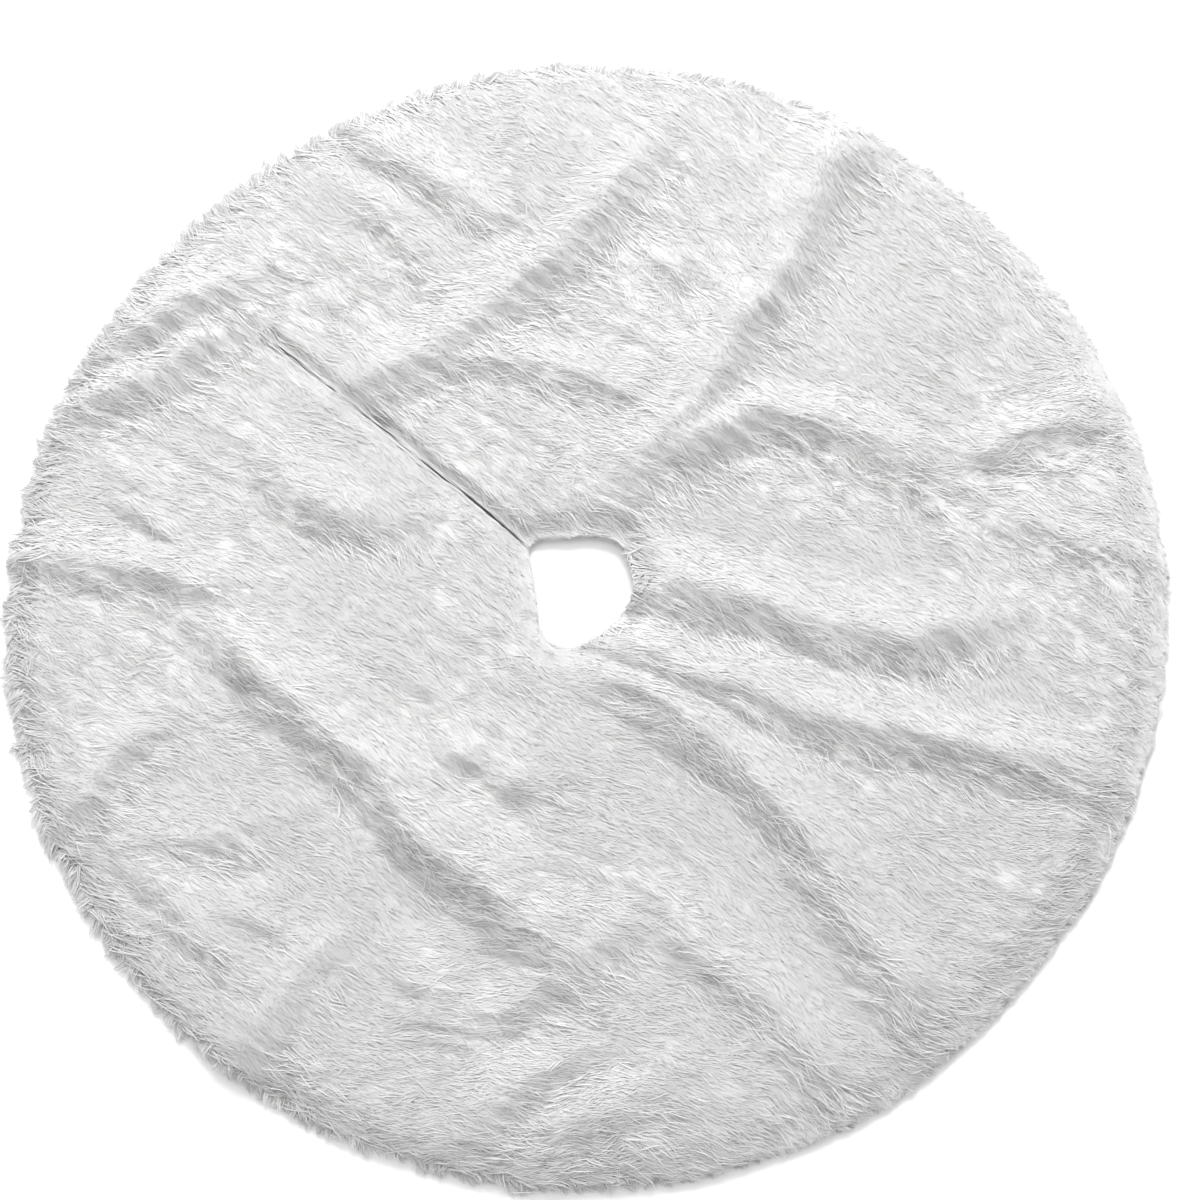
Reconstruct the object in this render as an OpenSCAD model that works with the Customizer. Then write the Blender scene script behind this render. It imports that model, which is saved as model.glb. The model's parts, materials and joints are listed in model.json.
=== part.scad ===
// Round faux-fur tree skirt, lying spread out on the floor.
// The skirt is one long-pile disc with a trunk hole and a slit from the hole to the rim.
// The sector beside the slit is the flap: it lifts and folds back to let the trunk in.
// Millimetres, +Z up, origin on the floor at the centre of the trunk hole.

/* [Skirt] */
// Overall diameter over the pile
skirt_d = 1210; // [900:10:1500]
// Diameter of the trunk hole inside its binding
hole_d = 110; // [90:5:150]
// How far the pile leans out past the bound rim
pile_over = 13; // [8:1:20]

/* [Slit and flap] */
// Direction of the slit from the hole to the rim, from +X
slit_angle = 140; // [0:5:355]
// Clear gap between the two bound slit edges
slit_gap = 5; // [5:0.5:8]
// Angle from the slit to the line where the flap folds back
flap_sweep = 40; // [30:5:60]
// Gap between the skirt and the flap along the fold line
fold_gap = 0.6; // [0.4:0.1:1]

/* [Layers] */
// Height of the folded tape that binds the rim and the hole
tape_h = 2.8; // [2.8:0.1:3.5]
// Width of the tape's leg under the lining
tape_w = 14; // [12:1:20]
// Thickness of the tape where it wraps round a cut edge
tape_wrap = 2; // [1:0.5:3]
// Thickness of the woven lining
lining_t = 0.8; // [0.5:0.1:1.5]
// Thickness of the knitted backing that holds the pile
backing_t = 2; // [1:0.1:3]
// Depth of the pile where the skirt lies flat
pile_t = 19.4; // [15:0.2:25]
// Width of a sewing thread
thread_w = 0.8; // [0.5:0.1:1]
// Depth to which a stitch sinks into the tape
stitch_t = 0.3; // [0.2:0.1:0.4]

/* [Folds] */
// Height of the tallest fold over the flat pile
fold_h = 17; // [0:1:20]
// Height of the fold line, where the flap bends
bend_z = 20; // [18:0.5:24]

/* [Closure] */
// Distance from the trunk hole's centre to the innermost tab
first_tab_r = 190; // [150:10:220]
// Distance from one tab to the next
tab_pitch = 140; // [80:10:150]
// Width of a tab along the slit
tab_w = 32; // [20:2:40]
// How far a tab reaches under the flap
tab_reach = 38; // [30:2:50]
// Width of the tab's margin sewn under the other edge
tab_margin = 20; // [16:1:30]
// Thickness of the tab's webbing
tab_t = 0.8; // [0.6:0.1:1]
// Width of the loop strips, across the slit
strip_w = 22; // [14:1:24]
// Thickness of the hook strip
hook_t = 0.8; // [0.6:0.1:0.9]
// Clearance between the closed hook and loop strips
strip_gap = 0.3; // [0.2:0.1:0.3]

/* [Label] */
// Width of the blank care label
label_w = 30; // [20:5:40]
// Length of the blank care label
label_l = 48; // [30:2:60]

/* [Hidden] */

$fn = 180;
// Radii
pile_r = skirt_d / 2;
rim_r = pile_r - pile_over;
hole_r = hole_d / 2;
short_leg_w = tape_w - 2;
leg_in_r = hole_r + short_leg_w;
leg_out_r = rim_r - tape_w;
// Heights of the layers
lining_z = tape_h;
backing_z = lining_z + lining_t;
pile_z = backing_z + backing_t;
flat_z = pile_z + pile_t;
// Heights and places of the closure
loop_z = tab_t + hook_t + strip_gap;
loop_t = lining_z - loop_z;
flap_tape_t = 0.8;
flap_tape_z = lining_z - flap_tape_t;
tab_gap = 0.6;
strip_off = slit_gap / 2 + tape_w;
// A loop strip is wider than its hook strip by this much on every side
strip_edge = 2;
tab_radii = [for (k = [0:2]) first_tab_r + k * tab_pitch];
// The fold line
fold_angle = slit_angle + flap_sweep;
bend_slope = tan(13);
// Stitches run this far inside a tape's or a strip's edge
stitch_in = 3;
// The care label hangs from the lining, away from the slit
label_r = first_tab_r + 2 * tab_pitch + 20;
label_off = 60;
label_t = 0.4;
// Cutting blocks reach past everything
far = skirt_d;
tall = 100;
// Steps of the pile's surface
turn_step = 5;
ring_n = 12;

// Folds: share of the tallest height, half width, and the crest's points.
// Widths and points are hundredths of the pile's radius.
FOLDS = [
    [1.00, 9, [[-58, -12], [-41, -27], [-27, -43], [-12, -58]]],
    [0.90, 8, [[10, -18], [25, -30], [36, -42], [43, -58]]],
    [0.85, 7, [[12, -1], [33, -6], [55, -9], [71, -6]]],
    [0.75, 7, [[15, -17], [33, -21], [55, -25], [74, -31]]],
    [0.65, 7, [[22, 31], [40, 30], [56, 21]]],
    [0.50, 7, [[10, 12], [25, 36], [38, 56], [50, 79]]],
    [0.50, 7, [[-15, 58], [-3, 68], [10, 76]]],
    [0.45, 7, [[-40, 88], [-25, 73]]],
    [0.40, 6, [[-30, 41], [-17, 42], [0, 39], [13, 34]]],
    [0.55, 7, [[-58, 22], [-43, 17], [-30, 15]]],
    [0.50, 9, [[-86, 32], [-71, 36], [-58, 43]]],
    [0.50, 8, [[-79, 58], [-63, 61]]],
    [0.60, 9, [[2, -61], [13, -55], [23, -65], [38, -81]]],
    [0.40, 9, [[-58, -78], [-43, -64]]],
    [0.45, 8, [[71, 25], [89, 31]]]
];

// Distance from p to the stretch from a to b
function stretch_gap(p, a, b) =
    let (d = b - a, t = max(0, min(1, ((p - a) * d) / (d * d)))) norm(p - a - t * d);

// Distance from p to a crest
function crest_gap(p, pts) =
    min([for (k = [0:len(pts) - 2]) stretch_gap(p, pts[k], pts[k + 1])]);

// Height that the folds add at p
function fold_rise(p) =
    let (q = p * 100 / pile_r)
    fold_h * max([for (f = FOLDS)
        let (s = max(0, 1 - pow(crest_gap(q, f[2]) / f[1], 2))) f[0] * s * s]);

// Height under which the pile stays, so that the flap can fold back on it
function bend_cap(p) =
    let (along = p * [cos(fold_angle), sin(fold_angle)],
         off = abs(p * [-sin(fold_angle), cos(fold_angle)]))
    along > 0 ? bend_z - 0.5 + bend_slope * off : tall;

// The pile thins out at the hole and rounds down at the rim
function fullness(r) =
    min(1, 0.65 + 0.35 * (r - hole_r) / 12, 0.4 + 0.6 * sqrt((pile_r - r) / 30));

function pile_height(p) =
    let (top = min(flat_z + fold_rise(p), bend_cap(p)))
    pile_z + (top - pile_z) * fullness(norm(p));

// Radii of the pile's rings, closer together at the hole and the rim
ring_step = (pile_r - hole_r) / ring_n;
RINGS = concat(
    [hole_r, hole_r + 12],
    [for (k = [1:ring_n - 1]) hole_r + k * ring_step],
    [pile_r - 15, pile_r]
);

// A place at radius r on column a, pushed sideways by off
function place(r, a, off) = [r * cos(a) - off * sin(a), r * sin(a) + off * cos(a)];

// The pile between two angles: a flat underside and a folded top
module pile(from, to, off_from, off_to) {
    turns = (to - from) / turn_step;
    rings = len(RINGS);
    cols = [for (k = [0:turns])
        let (off = k == 0 ? off_from : (k == turns ? off_to : 0))
        [for (r = RINGS) place(r, from + k * turn_step, off)]];
    top = [for (c = cols) for (p = c) [p[0], p[1], pile_height(p)]];
    inner = [for (c = cols) [c[0][0], c[0][1], pile_z]];
    outer = [for (c = cols) [c[rings - 1][0], c[rings - 1][1], pile_z]];
    in0 = len(top);
    out0 = in0 + len(inner);
    top_faces = [for (k = [0:turns - 1]) for (j = [0:rings - 2])
        let (a = k * rings + j, b = a + rings)
        each [[a, b, b + 1], [a, b + 1, a + 1]]];
    inner_faces = [for (k = [0:turns - 1])
        [k * rings, in0 + k, in0 + k + 1, (k + 1) * rings]];
    outer_faces = [for (k = [0:turns - 1])
        [k * rings + rings - 1, (k + 1) * rings + rings - 1, out0 + k + 1, out0 + k]];
    first_end = concat([for (j = [0:rings - 1]) j], [out0, in0]);
    last_end = concat([in0 + turns, out0 + turns],
        [for (j = [0:rings - 1]) turns * rings + rings - 1 - j]);
    underside = [for (k = [0:turns - 1]) [out0 + k, out0 + k + 1, in0 + k + 1, in0 + k]];
    polyhedron(
        points = concat(top, inner, outer),
        faces = concat(top_faces, inner_faces, outer_faces, underside, [first_end, last_end])
    );
}

// The flap's share of the floor, drawn in by the two offsets
module flap_space(fold_off, slit_off) {
    intersection() {
        rotate([0, 0, fold_angle]) translate([-far, -far - fold_off, -1]) cube([2 * far, far, tall]);
        rotate([0, 0, slit_angle]) translate([-far, slit_off, -1]) cube([2 * far, far, tall]);
    }
}

// Keeps what belongs to the skirt proper
module main_side(slit_off = slit_gap / 2) {
    difference() {
        children();
        flap_space(-fold_gap / 2, -slit_off);
    }
}

// Keeps what belongs to the flap
module flap_side(slit_off = slit_gap / 2) {
    intersection() {
        children();
        flap_space(fold_gap / 2, slit_off);
    }
}

module ring(r0, r1, z0, z1) {
    difference() {
        translate([0, 0, z0]) cylinder(h = z1 - z0, r = r1);
        translate([0, 0, z0 - 1]) cylinder(h = z1 - z0 + 2, r = r0);
    }
}

// A straight piece along the slit; w runs from the slit towards the flap
module along_slit(r0, r1, w0, w1, z0, z1) {
    rotate([0, 0, slit_angle]) translate([r0, w0, z0]) cube([r1 - r0, w1 - w0, z1 - z0]);
}

// The backing and the lining reach from the hole's binding to the rim's
module cloth_layer(z, t) {
    ring(hole_r + tape_wrap, rim_r - tape_wrap, z, z + t);
}

module rim_stitches() {
    ring(leg_out_r + stitch_in, leg_out_r + stitch_in + thread_w, 0, stitch_t);
}

module hole_stitches() {
    ring(leg_in_r - stitch_in - thread_w, leg_in_r - stitch_in, 0, stitch_t);
}

// Tape folded round the rim, with a groove for its stitches
module rim_binding() {
    difference() {
        union() {
            ring(leg_out_r, rim_r, 0, tape_h);
            ring(rim_r - tape_wrap, rim_r, 0, pile_z);
        }
        rim_stitches();
    }
}

// Tape folded round the trunk hole
module hole_binding() {
    difference() {
        union() {
            ring(hole_r, leg_in_r, 0, tape_h);
            ring(hole_r, hole_r + tape_wrap, 0, pile_z);
        }
        hole_stitches();
    }
}

// Tape folded round one slit edge; side is -1 on the skirt and 1 on the flap
module slit_binding(side, z0) {
    near = slit_gap / 2;
    w0 = side > 0 ? near : -near - short_leg_w;
    w1 = side > 0 ? near + short_leg_w : -near;
    wrap0 = side > 0 ? near : -near - tape_wrap;
    difference() {
        union() {
            along_slit(0, rim_r, w0, w1, z0, lining_z);
            along_slit(0, rim_r, wrap0, wrap0 + tape_wrap, z0, pile_z);
        }
        slit_stitches(side, z0);
        ring(0, leg_in_r, -1, tape_h);
        ring(0, hole_r + tape_wrap, -1, tall);
        ring(leg_out_r, far, -1, tape_h);
        ring(rim_r - tape_wrap, far, -1, tall);
    }
}

module slit_stitches(side, z0) {
    w = side * (slit_gap / 2 + short_leg_w - stitch_in);
    r0 = leg_in_r + 2 * stitch_in;
    r1 = leg_out_r - 2 * stitch_in;
    along_slit(r0, r1, w - thread_w / 2, w + thread_w / 2, z0, z0 + stitch_t);
}

// A rectangle of stitches in a strip, set in from its edges
module box_stitches(r0, r1, w0, w1, z0) {
    a = stitch_in;
    b = stitch_in + thread_w;
    difference() {
        along_slit(r0 + a, r1 - a, w0 + a, w1 - a, z0, z0 + stitch_t);
        along_slit(r0 + b, r1 - b, w0 + b, w1 - b, z0 - 1, z0 + 1);
    }
}

module margin_stitches(r) {
    box_stitches(r - tab_w / 2, r + tab_w / 2, -tab_margin, -tab_gap, 0);
}

module strip_stitches(r) {
    half = tab_w / 2 + strip_edge;
    box_stitches(r - half, r + half, strip_off, strip_off + strip_w, loop_z);
}

// Webbing tab k: the part that lies free under the flap
module tab(k) {
    color("whitesmoke")
    along_slit(tab_radii[k] - tab_w / 2, tab_radii[k] + tab_w / 2, 0, tab_reach, 0, tab_t);
}

// Hook strip on the upper face of tab k
module hook(k) {
    color("gainsboro")
    along_slit(tab_radii[k] - tab_w / 2 + strip_edge, tab_radii[k] + tab_w / 2 - strip_edge,
        strip_off + strip_edge, strip_off + strip_w - strip_edge, tab_t, tab_t + hook_t);
}

module pile_main() {
    color("white") pile(fold_angle - 360, slit_angle, fold_gap / 2, -slit_gap / 2);
}

module pile_flap() {
    color("white") pile(slit_angle, fold_angle, slit_gap / 2, -fold_gap / 2);
}

module backing_main() {
    color("ivory") main_side(slit_gap / 2 + tape_wrap) cloth_layer(backing_z, backing_t);
}

module backing_flap() {
    color("ivory") flap_side(slit_gap / 2 + tape_wrap) cloth_layer(backing_z, backing_t);
}

module lining_main() {
    color("linen") main_side(slit_gap / 2 + tape_wrap) cloth_layer(lining_z, lining_t);
}

module lining_flap() {
    color("linen") flap_side(slit_gap / 2 + tape_wrap) cloth_layer(lining_z, lining_t);
}

module rim_binding_main() {
    color("snow") main_side() rim_binding();
}

module rim_binding_flap() {
    color("snow") flap_side() rim_binding();
}

module hole_binding_main() {
    color("snow") main_side() hole_binding();
}

module hole_binding_flap() {
    color("snow") flap_side() hole_binding();
}

module slit_binding_main() {
    color("snow") slit_binding(-1, tab_t);
}

module slit_binding_flap() {
    color("snow") slit_binding(1, flap_tape_z);
}

module rim_stitches_main() {
    color("white") main_side() rim_stitches();
}

module rim_stitches_flap() {
    color("white") flap_side() rim_stitches();
}

module hole_stitches_main() {
    color("white") main_side() hole_stitches();
}

module hole_stitches_flap() {
    color("white") flap_side() hole_stitches();
}

module slit_stitches_main() {
    color("white") slit_stitches(-1, tab_t);
}

module slit_stitches_flap() {
    color("white") slit_stitches(1, flap_tape_z);
}

// The margins of the webbing tabs, sewn under the slit's binding
module tab_margins() {
    color("whitesmoke")
    for (r = tab_radii) difference() {
        along_slit(r - tab_w / 2, r + tab_w / 2, -tab_margin, -tab_gap, 0, tab_t);
        margin_stitches(r);
    }
}

module tab_stitches() {
    color("white") for (r = tab_radii) margin_stitches(r);
}

// Loop strips sewn to the flap's lining, over the hook strips
module loop_strips() {
    color("gainsboro")
    for (r = tab_radii) difference() {
        along_slit(r - tab_w / 2 - strip_edge, r + tab_w / 2 + strip_edge,
            strip_off, strip_off + strip_w, loop_z, loop_z + loop_t);
        strip_stitches(r);
    }
}

module loop_stitches() {
    color("white") for (r = tab_radii) strip_stitches(r);
}

// Blank label, sewn to the lining by one end
module care_label() {
    color("white")
    along_slit(label_r, label_r + label_w, -label_off - label_l, -label_off,
        lining_z - label_t, lining_z);
}

module label_stitches() {
    color("white")
    along_slit(label_r + stitch_in, label_r + label_w - stitch_in,
        -label_off - stitch_in - thread_w, -label_off - stitch_in,
        lining_z - label_t - stitch_t, lining_z - label_t);
}

pile_main();
backing_main();
lining_main();
rim_binding_main();
hole_binding_main();
slit_binding_main();
rim_stitches_main();
hole_stitches_main();
slit_stitches_main();
tab_margins();
tab_stitches();
care_label();
label_stitches();
pile_flap();
backing_flap();
lining_flap();
rim_binding_flap();
hole_binding_flap();
slit_binding_flap();
rim_stitches_flap();
hole_stitches_flap();
slit_stitches_flap();
loop_strips();
loop_stitches();
tab(0);  // tab_inner
tab(1);  // tab_middle
tab(2);  // tab_outer
hook(0);  // hook_inner
hook(1);  // hook_middle
hook(2);  // hook_outer
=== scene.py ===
# A round long-pile faux-fur tree skirt lying on a pale floor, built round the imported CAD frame.
import json
import math
import bpy
import numpy as np
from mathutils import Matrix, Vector


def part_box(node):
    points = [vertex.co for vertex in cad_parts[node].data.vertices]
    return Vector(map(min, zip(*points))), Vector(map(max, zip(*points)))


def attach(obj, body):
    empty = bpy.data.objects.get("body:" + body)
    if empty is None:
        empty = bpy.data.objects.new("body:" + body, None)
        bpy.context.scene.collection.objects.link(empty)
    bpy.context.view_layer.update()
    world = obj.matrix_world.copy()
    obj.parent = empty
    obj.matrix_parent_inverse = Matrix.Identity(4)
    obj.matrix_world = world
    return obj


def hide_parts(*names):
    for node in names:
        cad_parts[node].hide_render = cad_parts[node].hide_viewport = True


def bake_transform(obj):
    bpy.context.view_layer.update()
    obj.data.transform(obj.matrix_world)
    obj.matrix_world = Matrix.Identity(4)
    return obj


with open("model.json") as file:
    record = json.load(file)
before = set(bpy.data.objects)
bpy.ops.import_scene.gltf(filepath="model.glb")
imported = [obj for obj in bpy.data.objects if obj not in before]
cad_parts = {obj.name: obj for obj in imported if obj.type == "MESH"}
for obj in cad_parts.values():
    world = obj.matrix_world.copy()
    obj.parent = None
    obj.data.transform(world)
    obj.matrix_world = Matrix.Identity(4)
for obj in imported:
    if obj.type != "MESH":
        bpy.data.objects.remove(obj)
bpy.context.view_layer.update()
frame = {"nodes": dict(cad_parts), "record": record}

MM = 0.001
SEED = 20261

# ---- sizes taken from the frame
RECORD = frame["record"]
JOINTS = {j["name"]: j for j in RECORD["behaviour"]["joints"]}
PILE_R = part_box("pile_main")[1][0]          # outer radius of the lying pile
CLOTH_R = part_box("rim_binding_main")[1][0]  # radius of the bound cloth
LINING_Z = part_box("lining_main")[0][2]
BACKING_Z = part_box("backing_main")[0][2]
PILE_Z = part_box("backing_main")[1][2]
SLIT_AXIS = JOINTS["tab_inner_lift"]["axis"]
SLIT = math.atan2(SLIT_AXIS[1], SLIT_AXIS[0])
FOLD = math.pi  # the flap bends on the -X radius
SLIT_DIR = np.array([math.cos(SLIT), math.sin(SLIT)])
FLAP_DIR = np.array([-math.sin(SLIT), math.cos(SLIT)])  # across the slit, towards the flap

PILE_T = 0.0165  # depth of the lying pile over the backing
PERCENT = PILE_R / 100  # folds and nap are laid out in hundredths of the radius

# ---- how the skirt lies
# Each fold: height in mm before FOLD_SCALE, then in percent of the skirt's radius its half widths to the
# left and right of the crest's direction, and the crest's points. The right side is steep.
FOLDS = [
    (18, 12, 6, [(-66, -4), (-56, -12), (-47, -21), (-37, -31), (-26, -42), (-16, -52), (-7, -62), (0, -72)]),
    (17, 9, 5.5, [(0, -14), (10, -20), (20, -27), (29, -35), (37, -45), (44, -57), (50, -69), (54, -80)]),
    (16, 8.5, 6, [(-2, 3), (14, 0), (29, -4), (43, -9), (56, -10), (70, -7)]),
    (14, 9, 7, [(-2, -7), (12, -13), (30, -19), (50, -25), (70, -30), (90, -37)]),
    (15, 7, 6.5, [(8, 17), (18, 27), (31, 31), (45, 29), (56, 22), (64, 10)]),
    (14, 10, 6, [(4, 10), (6, 14), (26, 44), (44, 73), (58, 97)]),
    (13, 8, 6, [(-44, 33), (-29, 41), (-17, 50), (-6, 62), (3, 71), (14, 84)]),
    (9, 9, 4, [(-9, 112), (-8, 88), (-8, 70), (-9, 58)]),
    (10, 8, 5, [(-46, 93), (-36, 84), (-26, 76), (-18, 71), (-8, 71)]),
    (9, 8, 4, [(-45, 76), (-36, 69), (-29, 59), (-24, 52)]),
    (8, 8, 3.5, [(-34, 40), (-16, 42), (-1, 39), (14, 33)]),
    (10, 8, 3.5, [(-108, 8), (-88, 6), (-76, 3), (-64, 0), (-54, -6)]),
    (11, 8, 5, [(-61, 26), (-51, 18), (-42, 14), (-30, 13)]),
    (7, 8, 4, [(-84, 27), (-76, 16), (-66, 4)]),
    (15, 8, 4.5, [(-92, 40), (-79, 48), (-69, 53), (-58, 57)]),
    (15, 5, 4.5, [(-94, 28), (-82, 36), (-70, 44), (-59, 51)]),
    (9, 8, 5, [(6, -49), (18, -61), (29, -72), (44, -89)]),
    (10, 7, 5, [(-24, -73), (-10, -69), (0, -62), (10, -53)]),
    (9, 9, 4.5, [(-69, -94), (-57, -78), (-47, -65), (-38, -55)]),
    (9, 8, 3.5, [(-92, -42), (-82, -31), (-70, -20)]),
    (5, 6, 3.5, [(-80, -42), (-66, -43), (-50, -40)]),
    (6, 6, 3.5, [(-74, -57), (-60, -55), (-44, -58)]),
    (7, 8, 3.5, [(-78, -44), (-66, -56), (-53, -71)]),
    (8, 7, 4, [(-24, -95), (-11, -84), (3, -77)]),
    (7, 7, 4, [(-8, -97), (4, -87), (16, -80)]),
    (9, 7, 4, [(60, 17), (73, 23), (82, 27), (96, 34)]),
    (6, 6, 4, [(66, 13), (84, 8), (102, 3)]),
    (6, 5, 3.5, [(-32, -62), (-24, -66), (-22, -76)]),
    (8, 11, 3.2, [(-28, -30), (-22, -31), (-16, -33)]),
    (8, 10, 3.2, [(-17, -35), (-11, -36), (-5, -35)]),
    (6, 6, 2.5, [(13, 60), (17, 59), (22, 56)]),
]
FOLD_SCALE = 1.15
FADE_LEN = 16  # a fold runs out over this length at its ends, in percent of the radius
CREST = 1.3  # rounding of the crests, in percent of the radius
EDGE_EASE = 0.06  # the cloth settles towards the floor over this distance from its edges, in metres
# Hollows: depth in mm, then radius and centre in percent of the skirt's radius
HOLLOWS = [
    (5, 9, (-71, 42)),
    (5, 10, (30, 88)),
    (6, 9, (-27, -52)),
    (5, 12, (-12, -70)),
    (4, 12, (-46, -56)),
    (5, 6, (-21, -36)),
    (4, 6, (-12, -40)),
    (4, 7, (-10, -20)),
    (4, 6, (86, 27)),
    (3, 10, (-80, -15)),
]
# Places in percent of the skirt's radius, and the nap's direction there in degrees from +X
NAP = [
    (-88, 5, -22), (-65, -15, -27), (-70, 30, -28), (-50, 45, -39), (-35, 72, -38),
    (-5, 62, -30), (-12, 45, -24), (20, 60, -43), (35, 76, -49), (55, 55, -40),
    (72, 45, -46), (82, 28, 6), (92, 8, -30), (65, -15, -42), (45, 10, -33),
    (12, 30, -35), (-35, 15, -41), (-30, -25, -36), (0, -25, -26), (30, -45, -45),
    (55, -42, -32), (73, -55, -12), (35, -70, -40), (5, -62, -21), (-15, -75, -7),
    (0, -91, 2), (22, -88, -22), (-45, -60, -34), (-60, -45, -27), (-75, -35, -32),
]
NAP_BLEND = 4  # percent: a place's pull on the nap is evened out within this distance
# The trunk hole's outline: angle in degrees and radius in mm. It is pulled out of round.
HOLE_OUTLINE = [
    (4, 54), (30, 57), (56, 65), (73, 62), (105, 59), (137, 78), (158, 58),
    (180, 51), (205, 54), (232, 67), (257, 65), (280, 54), (302, 49), (335, 49),
]
HOLE_ROUNDING = (-4, -2, 0, 2, 4)  # its corners are the mean over these turns, in degrees
# Clear gap of the slit: distance from the hole's centre and width, both in mm
SLIT_GAPS = [(55, 8), (120, 8), (165, 7.5), (215, 7), (330, 6.5), (410, 9), (450, 6), (480, 2), (610, 2)]
CELLS = 64  # a noise pattern repeats after this many cells
CENTRE_CELL = (17.3, 5.9)  # where the skirt's centre falls in the pattern


def smooth(t):
    """An even step: 0 up to t = 0, and 1 from t = 1."""
    t = np.clip(t, 0, 1)
    return t * t * (3 - 2 * t)


def bilinear(grid, i0, i1, j0, j1, u, v):
    """Values between four points of a grid."""
    low = grid[i0, j0] * (1 - u) + grid[i1, j0] * u
    high = grid[i0, j1] * (1 - u) + grid[i1, j1] * u
    return low * (1 - v) + high * v


def noise(x, y, size, seed):
    """Smooth noise between about -1 and 1, with bumps about size metres apart."""
    grid = np.random.default_rng(seed).uniform(-1, 1, (CELLS, CELLS))
    u = np.asarray(x) / size + CENTRE_CELL[0]
    v = np.asarray(y) / size + CENTRE_CELL[1]
    i, j = np.floor(u).astype(int), np.floor(v).astype(int)
    u, v = smooth(u - i), smooth(v - j)
    return bilinear(grid, i % CELLS, (i + 1) % CELLS, j % CELLS, (j + 1) % CELLS, u, v)


def slit_frame(x, y):
    """Where points lie along the slit's line from the centre, and across it towards the flap."""
    return x * SLIT_DIR[0] + y * SLIT_DIR[1], x * FLAP_DIR[0] + y * FLAP_DIR[1]


def from_slit_frame(along, across):
    return along * SLIT_DIR[0] + across * FLAP_DIR[0], along * SLIT_DIR[1] + across * FLAP_DIR[1]


def fold_height(x, y, fold):
    """Height of one fold at points given in percent of the radius. It fades at both ends of its crest."""
    height, left, right, points = fold
    points = np.array(points, dtype=float)
    steps = np.diff(points, axis=0)
    run = np.concatenate([[0], np.cumsum(np.hypot(*steps.T))])
    best = np.full(x.shape, 1e9)
    side = np.zeros(x.shape)
    place = np.zeros(x.shape)
    for (ax, ay), (dx, dy), start in zip(points[:-1], steps, run[:-1]):
        t = np.clip(((x - ax) * dx + (y - ay) * dy) / (dx * dx + dy * dy), 0, 1)
        ox, oy = x - ax - t * dx, y - ay - t * dy
        d = np.hypot(ox, oy)
        near = d < best
        best = np.where(near, d, best)
        side = np.where(near, dx * oy - dy * ox, side)
        place = np.where(near, start + t * math.hypot(dx, dy), place)
    fade = 0.25 + 0.75 * smooth(np.minimum(place, run[-1] - place) / min(0.38 * run[-1], FADE_LEN))
    away = np.hypot(best, CREST) - CREST
    gentle = np.clip(1 - away / left, 0, None) ** 1.5
    steep = np.clip(1 - away / (right * (0.55 + 0.45 * fade)), 0, None) ** 1.25
    return height * fade * np.where(side > 0, gentle, steep)


def relief(x, y):
    """Height of the cloth over where it would lie flat, in metres."""
    px, py = x / PERCENT, y / PERCENT
    wob_x = px + 1.6 * noise(x, y, 0.07, 3) + 0.6 * noise(x, y, 0.028, 5)
    wob_y = py + 1.6 * noise(x, y, 0.07, 4) + 0.6 * noise(x, y, 0.028, 6)
    total = np.zeros(x.shape)
    for fold in FOLDS:
        total = np.maximum(total, FOLD_SCALE * fold_height(wob_x, wob_y, fold))
    for depth, radius, (cx, cy) in HOLLOWS:
        d = np.hypot(wob_x - cx, wob_y - cy) / radius
        total = total - depth * np.clip(1 - d * d, 0, None) ** 2
    r, a = np.hypot(x, y), np.arctan2(y, x)
    inside = smooth(np.minimum(r - hole_edge(a), rim_edge(a) - r) / EDGE_EASE)
    loose = 1.0 + 2.2 * (1 + noise(x, y, 0.12, 7)) + 0.8 * (1 + noise(x, y, 0.05, 8))
    return np.clip(total + loose * (0.3 + 0.7 * inside), 0, None) * (0.75 + 0.25 * inside) * MM


class Raster:
    """A smooth field over the floor, sampled on a grid and looked up between its points."""

    def __init__(self, rule, half=0.70, step=0.0025):
        """Half is how far the field reaches from the centre, and step is its grid, both in metres."""
        self.half, self.step = half, step
        self.n = int(round(2 * half / step)) + 1
        axis = np.linspace(-half, half, self.n)
        gx, gy = np.meshgrid(axis, axis, indexing="ij")
        self.values = rule(gx, gy)

    def __call__(self, x, y):
        u, v = (np.clip((np.asarray(p) + self.half) / self.step, 0, self.n - 1.001) for p in (x, y))
        i, j = u.astype(int), v.astype(int)
        return bilinear(self.values, i, i + 1, j, j + 1, u - i, v - j)


def slopes(field, x, y, step):
    """How steeply a field climbs along X and along Y."""
    along_x = (field(x + step, y) - field(x - step, y)) / (2 * step)
    along_y = (field(x, y + step) - field(x, y - step)) / (2 * step)
    return along_x, along_y


def nap_rule(x, y):
    """Direction of the nap in radians: a soft mean of the places in NAP, with some wander."""
    px, py = x / PERCENT, y / PERCENT
    weight = np.zeros(x.shape)
    total = np.zeros(x.shape)
    for cx, cy, angle in NAP:
        w = 1 / ((px - cx) ** 2 + (py - cy) ** 2 + NAP_BLEND ** 2) ** 1.5
        weight += w
        total += w * angle
    wander = 13 * noise(x, y, 0.055, 11) + 11 * noise(x, y, 0.022, 12)
    return np.radians(total / weight + wander)


def hole_edge(angle):
    """Radius of the trunk hole's edge: the outline, a little rounded at its corners."""
    a = np.degrees(angle) % 360
    degrees, radii = zip(*HOLE_OUTLINE)
    degrees = [degrees[-1] - 360, *degrees, degrees[0] + 360]
    radii = [radii[-1], *radii, radii[0]]
    total = sum(np.interp((a + turn) % 360, degrees, radii) for turn in HOLE_ROUNDING)
    return total / len(HOLE_ROUNDING) * MM


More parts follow.
